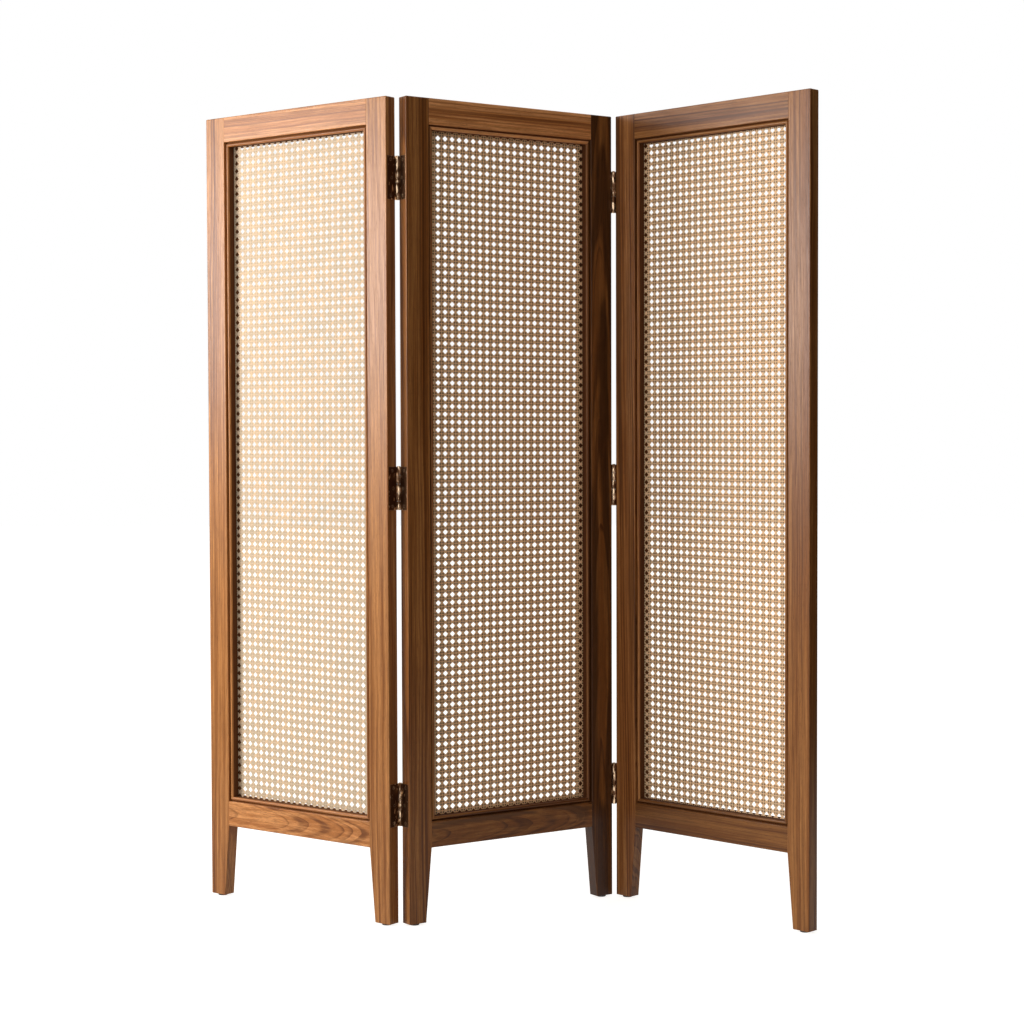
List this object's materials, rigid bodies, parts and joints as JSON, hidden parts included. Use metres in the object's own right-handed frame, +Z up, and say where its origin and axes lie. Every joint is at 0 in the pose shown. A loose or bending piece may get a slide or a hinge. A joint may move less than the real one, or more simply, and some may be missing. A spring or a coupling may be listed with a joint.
{
  "type": "folding room screen",
  "caption": "Freestanding folding room divider: tapered-leg hardwood frames hold open cane webbing and fold in a zigzag on bronze butt hinges.",
  "frame": {"origin": "on the floor, at the middle of the standing screen's bounding box", "axes": "+X runs to the right along the screen as seen from the front, +Y away from the viewer, +Z up; rest is the standing zigzag"},
  "size_m": [1.2806, 0.4136, 1.7],
  "materials": {
    "frame_wood": "satin oiled walnut with sapwood streaks and eased arrises",
    "bead_wood": "satin oiled walnut with straight grain along each strip",
    "cane": "natural split cane, smooth glossy peel on the strands' outer side",
    "hinge_bronze": "dark antique bronze, rubbed lighter on knuckles and edges",
    "glide": "dark moulded nylon"
  },
  "bodies": {
    "first_panel": {"first_left_stile": "frame_wood", "first_right_stile": "frame_wood", "first_top_rail": "frame_wood", "first_bottom_rail": "frame_wood", "first_left_bead": "bead_wood", "first_right_bead": "bead_wood", "first_top_bead": "bead_wood", "first_bottom_bead": "bead_wood", "first_left_stop": "bead_wood", "first_right_stop": "bead_wood", "first_top_stop": "bead_wood", "first_bottom_stop": "bead_wood", "first_cane": "cane", "first_glides": "glide", "first_fold_top_left_leaf": "hinge_bronze", "first_fold_middle_left_leaf": "hinge_bronze", "first_fold_bottom_left_leaf": "hinge_bronze", "first_fold_left_screws": "hinge_bronze", "first_fold_pins": "hinge_bronze"},
    "second_panel": {"second_left_stile": "frame_wood", "second_right_stile": "frame_wood", "second_top_rail": "frame_wood", "second_bottom_rail": "frame_wood", "second_left_bead": "bead_wood", "second_right_bead": "bead_wood", "second_top_bead": "bead_wood", "second_bottom_bead": "bead_wood", "second_left_stop": "bead_wood", "second_right_stop": "bead_wood", "second_top_stop": "bead_wood", "second_bottom_stop": "bead_wood", "second_cane": "cane", "second_glides": "glide", "first_fold_top_right_leaf": "hinge_bronze", "first_fold_middle_right_leaf": "hinge_bronze", "first_fold_bottom_right_leaf": "hinge_bronze", "first_fold_right_screws": "hinge_bronze", "second_fold_top_left_leaf": "hinge_bronze", "second_fold_middle_left_leaf": "hinge_bronze", "second_fold_bottom_left_leaf": "hinge_bronze", "second_fold_left_screws": "hinge_bronze", "second_fold_pins": "hinge_bronze"},
    "third_panel": {"third_left_stile": "frame_wood", "third_right_stile": "frame_wood", "third_top_rail": "frame_wood", "third_bottom_rail": "frame_wood", "third_left_bead": "bead_wood", "third_right_bead": "bead_wood", "third_top_bead": "bead_wood", "third_bottom_bead": "bead_wood", "third_left_stop": "bead_wood", "third_right_stop": "bead_wood", "third_top_stop": "bead_wood", "third_bottom_stop": "bead_wood", "third_cane": "cane", "third_glides": "glide", "second_fold_top_right_leaf": "hinge_bronze", "second_fold_middle_right_leaf": "hinge_bronze", "second_fold_bottom_right_leaf": "hinge_bronze", "second_fold_right_screws": "hinge_bronze"}
  },
  "joints": [
    {"name": "first_fold", "type": "hinge", "parent": "second_panel", "child": "first_panel", "pos_m": [-0.20853, -0.10693, 0], "axis": [0, 0, 1], "range_deg": [-108.3, 71.7]},
    {"name": "second_fold", "type": "hinge", "parent": "second_panel", "child": "third_panel", "pos_m": [0.2457, 0.15314, 0], "axis": [0, 0, 1], "range_deg": [-101.6, 78.4]}
  ]
}
